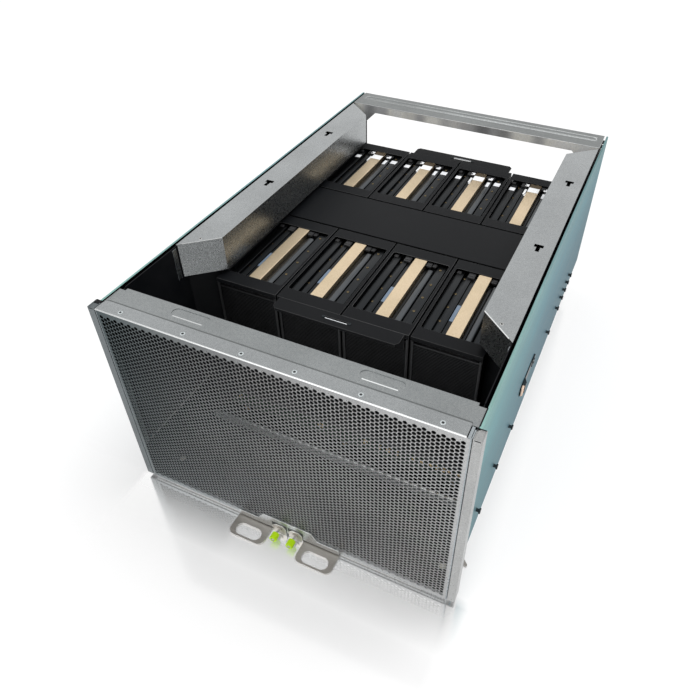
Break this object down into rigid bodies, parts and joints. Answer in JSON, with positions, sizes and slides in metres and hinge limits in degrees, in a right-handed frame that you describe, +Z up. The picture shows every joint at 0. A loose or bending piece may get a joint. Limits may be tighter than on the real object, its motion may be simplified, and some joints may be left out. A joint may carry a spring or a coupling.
{
  "type": "gpu server tray",
  "caption": "Open-topped sheet metal accelerator tray of a rack server, with perforated front, side air ducts, tall finned modules, cam levers and captive thumbscrews.",
  "frame": {"origin": "middle of the underside, on the face the tray rests on", "axes": "+X to the tray's right seen from the front, +Y towards its rear, +Z up"},
  "size_m": [0.458, 0.733, 0.307],
  "materials": {
    "galvanised": "spangled zinc, satin",
    "galvanised_side": "satin zinc, bluish",
    "stainless": "brushed",
    "black_sheet": "black powder coat",
    "fins": "dark satin",
    "gold_anodised": "champagne gold anodised",
    "board": "dark solder mask",
    "connector": "moulded",
    "brass_post": "machined",
    "screw_steel": "zinc plated",
    "dark_steel": "black zinc",
    "lime_knob": "moulded, satin",
    "touch_pad": "moulded, matte"
  },
  "bodies": {
    "chassis": {"floor_pan": "galvanised", "left_side_skin": "galvanised_side", "right_side_skin": "galvanised_side", "left_side_liner": "black_sheet", "right_side_liner": "black_sheet", "left_ear": "galvanised", "right_ear": "galvanised", "front_panel": "galvanised", "front_cross_bar": "galvanised", "panel_screws": "screw_steel", "rear_cross_bar": "galvanised", "left_air_duct": "galvanised", "right_air_duct": "galvanised", "duct_screws": "screw_steel", "left_air_baffle": "black_sheet", "right_air_baffle": "black_sheet", "rail_studs": "dark_steel", "latch_clamps": "dark_steel", "lever_bracket": "galvanised", "lever_nuts": "screw_steel", "lever_pivots": "stainless", "baseboard": "board", "board_standoffs": "brass_post", "board_connectors": "connector", "gold_bars": "gold_anodised", "centre_cover": "black_sheet", "switch_heatsinks": "fins", "front_tab_plate": "black_sheet", "rear_tab_plate": "black_sheet", "tab_screws": "dark_steel", "module_shroud_1": "black_sheet", "module_heatsink_1": "fins", "module_shroud_2": "black_sheet", "module_heatsink_2": "fins", "module_shroud_3": "black_sheet", "module_heatsink_3": "fins", "module_shroud_4": "black_sheet", "module_heatsink_4": "fins", "module_shroud_5": "black_sheet", "module_heatsink_5": "fins", "module_shroud_6": "black_sheet", "module_heatsink_6": "fins", "module_shroud_7": "black_sheet", "module_heatsink_7": "fins", "module_shroud_8": "black_sheet", "module_heatsink_8": "fins"},
    "left_lever": {"left_cam_lever": "stainless", "left_screw_ferrule": "stainless"},
    "left_screw_slide": {"left_screw_retainer": "screw_steel"},
    "left_screw": {"left_thumbscrew": "screw_steel", "left_screw_knob": "lime_knob"},
    "left_latch": {"left_stop_latch": "dark_steel", "left_latch_pad": "touch_pad"},
    "right_lever": {"right_cam_lever": "stainless", "right_screw_ferrule": "stainless"},
    "right_screw_slide": {"right_screw_retainer": "screw_steel"},
    "right_screw": {"right_thumbscrew": "screw_steel", "right_screw_knob": "lime_knob"},
    "right_latch": {"right_stop_latch": "dark_steel", "right_latch_pad": "touch_pad"}
  },
  "joints": [
    {"name": "left_lever_swing", "type": "hinge", "parent": "chassis", "child": "left_lever", "pos_m": [-0.2, -0.2955, 0.0016], "axis": [0, 0, -1], "range_deg": [0, 50]},
    {"name": "left_screw_advance", "type": "slide", "parent": "left_lever", "child": "left_screw_slide", "axis": [0, 1, 0], "range_m": [0, 0.0051]},
    {"name": "left_screw_turn", "type": "hinge", "parent": "left_screw_slide", "child": "left_screw", "pos_m": [-0.012, -0.3455, 0.0089], "axis": [0, 1, 0], "range_deg": [0, 3673]},
    {"name": "left_latch_press", "type": "hinge", "parent": "chassis", "child": "left_latch", "pos_m": [-0.22425, -0.0305, 0.137], "axis": [0, 0, 1], "range_deg": [0, 5], "stiffness_Nm_per_rad": 1.5, "springref_deg": -1.72},
    {"name": "right_lever_swing", "type": "hinge", "parent": "chassis", "child": "right_lever", "pos_m": [0.2, -0.2955, 0.0016], "axis": [0, 0, 1], "range_deg": [0, 50]},
    {"name": "right_screw_advance", "type": "slide", "parent": "right_lever", "child": "right_screw_slide", "axis": [0, 1, 0], "range_m": [0, 0.0051]},
    {"name": "right_screw_turn", "type": "hinge", "parent": "right_screw_slide", "child": "right_screw", "pos_m": [0.012, -0.3455, 0.0089], "axis": [0, 1, 0], "range_deg": [0, 3673]},
    {"name": "right_latch_press", "type": "hinge", "parent": "chassis", "child": "right_latch", "pos_m": [0.22425, -0.0305, 0.137], "axis": [0, 0, -1], "range_deg": [0, 5], "stiffness_Nm_per_rad": 1.5, "springref_deg": -1.72}
  ],
  "couplings": [
    {"joint": "left_screw_turn", "follows": "left_screw_advance", "rad_per_m": 12566},
    {"joint": "right_screw_turn", "follows": "right_screw_advance", "rad_per_m": 12566}
  ]
}
